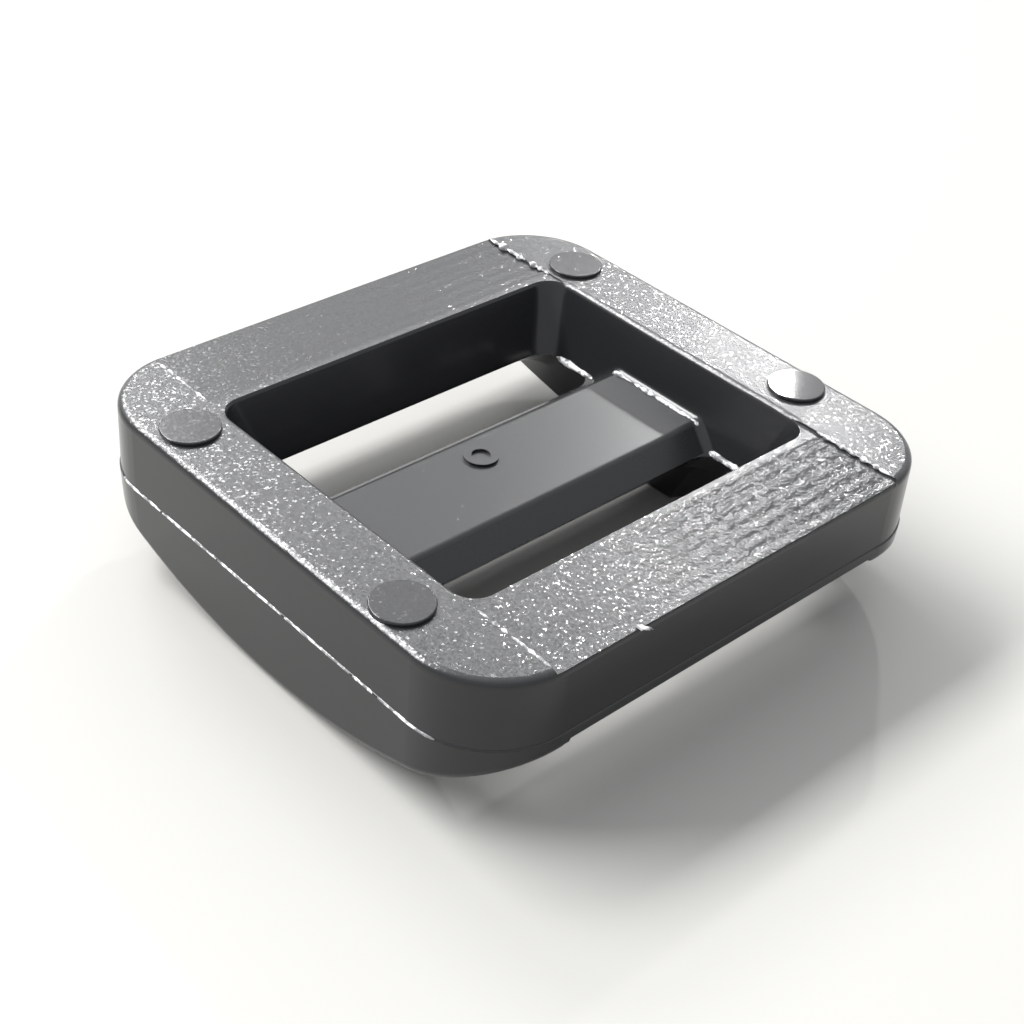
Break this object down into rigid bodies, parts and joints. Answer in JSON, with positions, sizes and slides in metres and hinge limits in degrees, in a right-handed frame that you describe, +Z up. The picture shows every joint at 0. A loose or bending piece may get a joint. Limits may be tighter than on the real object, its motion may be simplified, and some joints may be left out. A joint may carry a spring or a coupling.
{
  "type": "strap adjuster",
  "caption": "Moulded plastic strap slider: an arched frame with a ribbed centre bar, for shortening and locking a 20 mm webbing strap.",
  "frame": {"origin": "on the surface it rests on, under the centre of its bounding box, with its flat back face up", "axes": "+Z up, out of the flat back face; +Y along the strap; +X across the strap, along the centre bar"},
  "size_m": [0.032, 0.0312, 0.0091],
  "materials": {
    "moulding": "spark-eroded satin, moulded acetal, charcoal black"
  },
  "bodies": {
    "root": {"slider_frame": "moulding"}
  },
  "joints": []
}
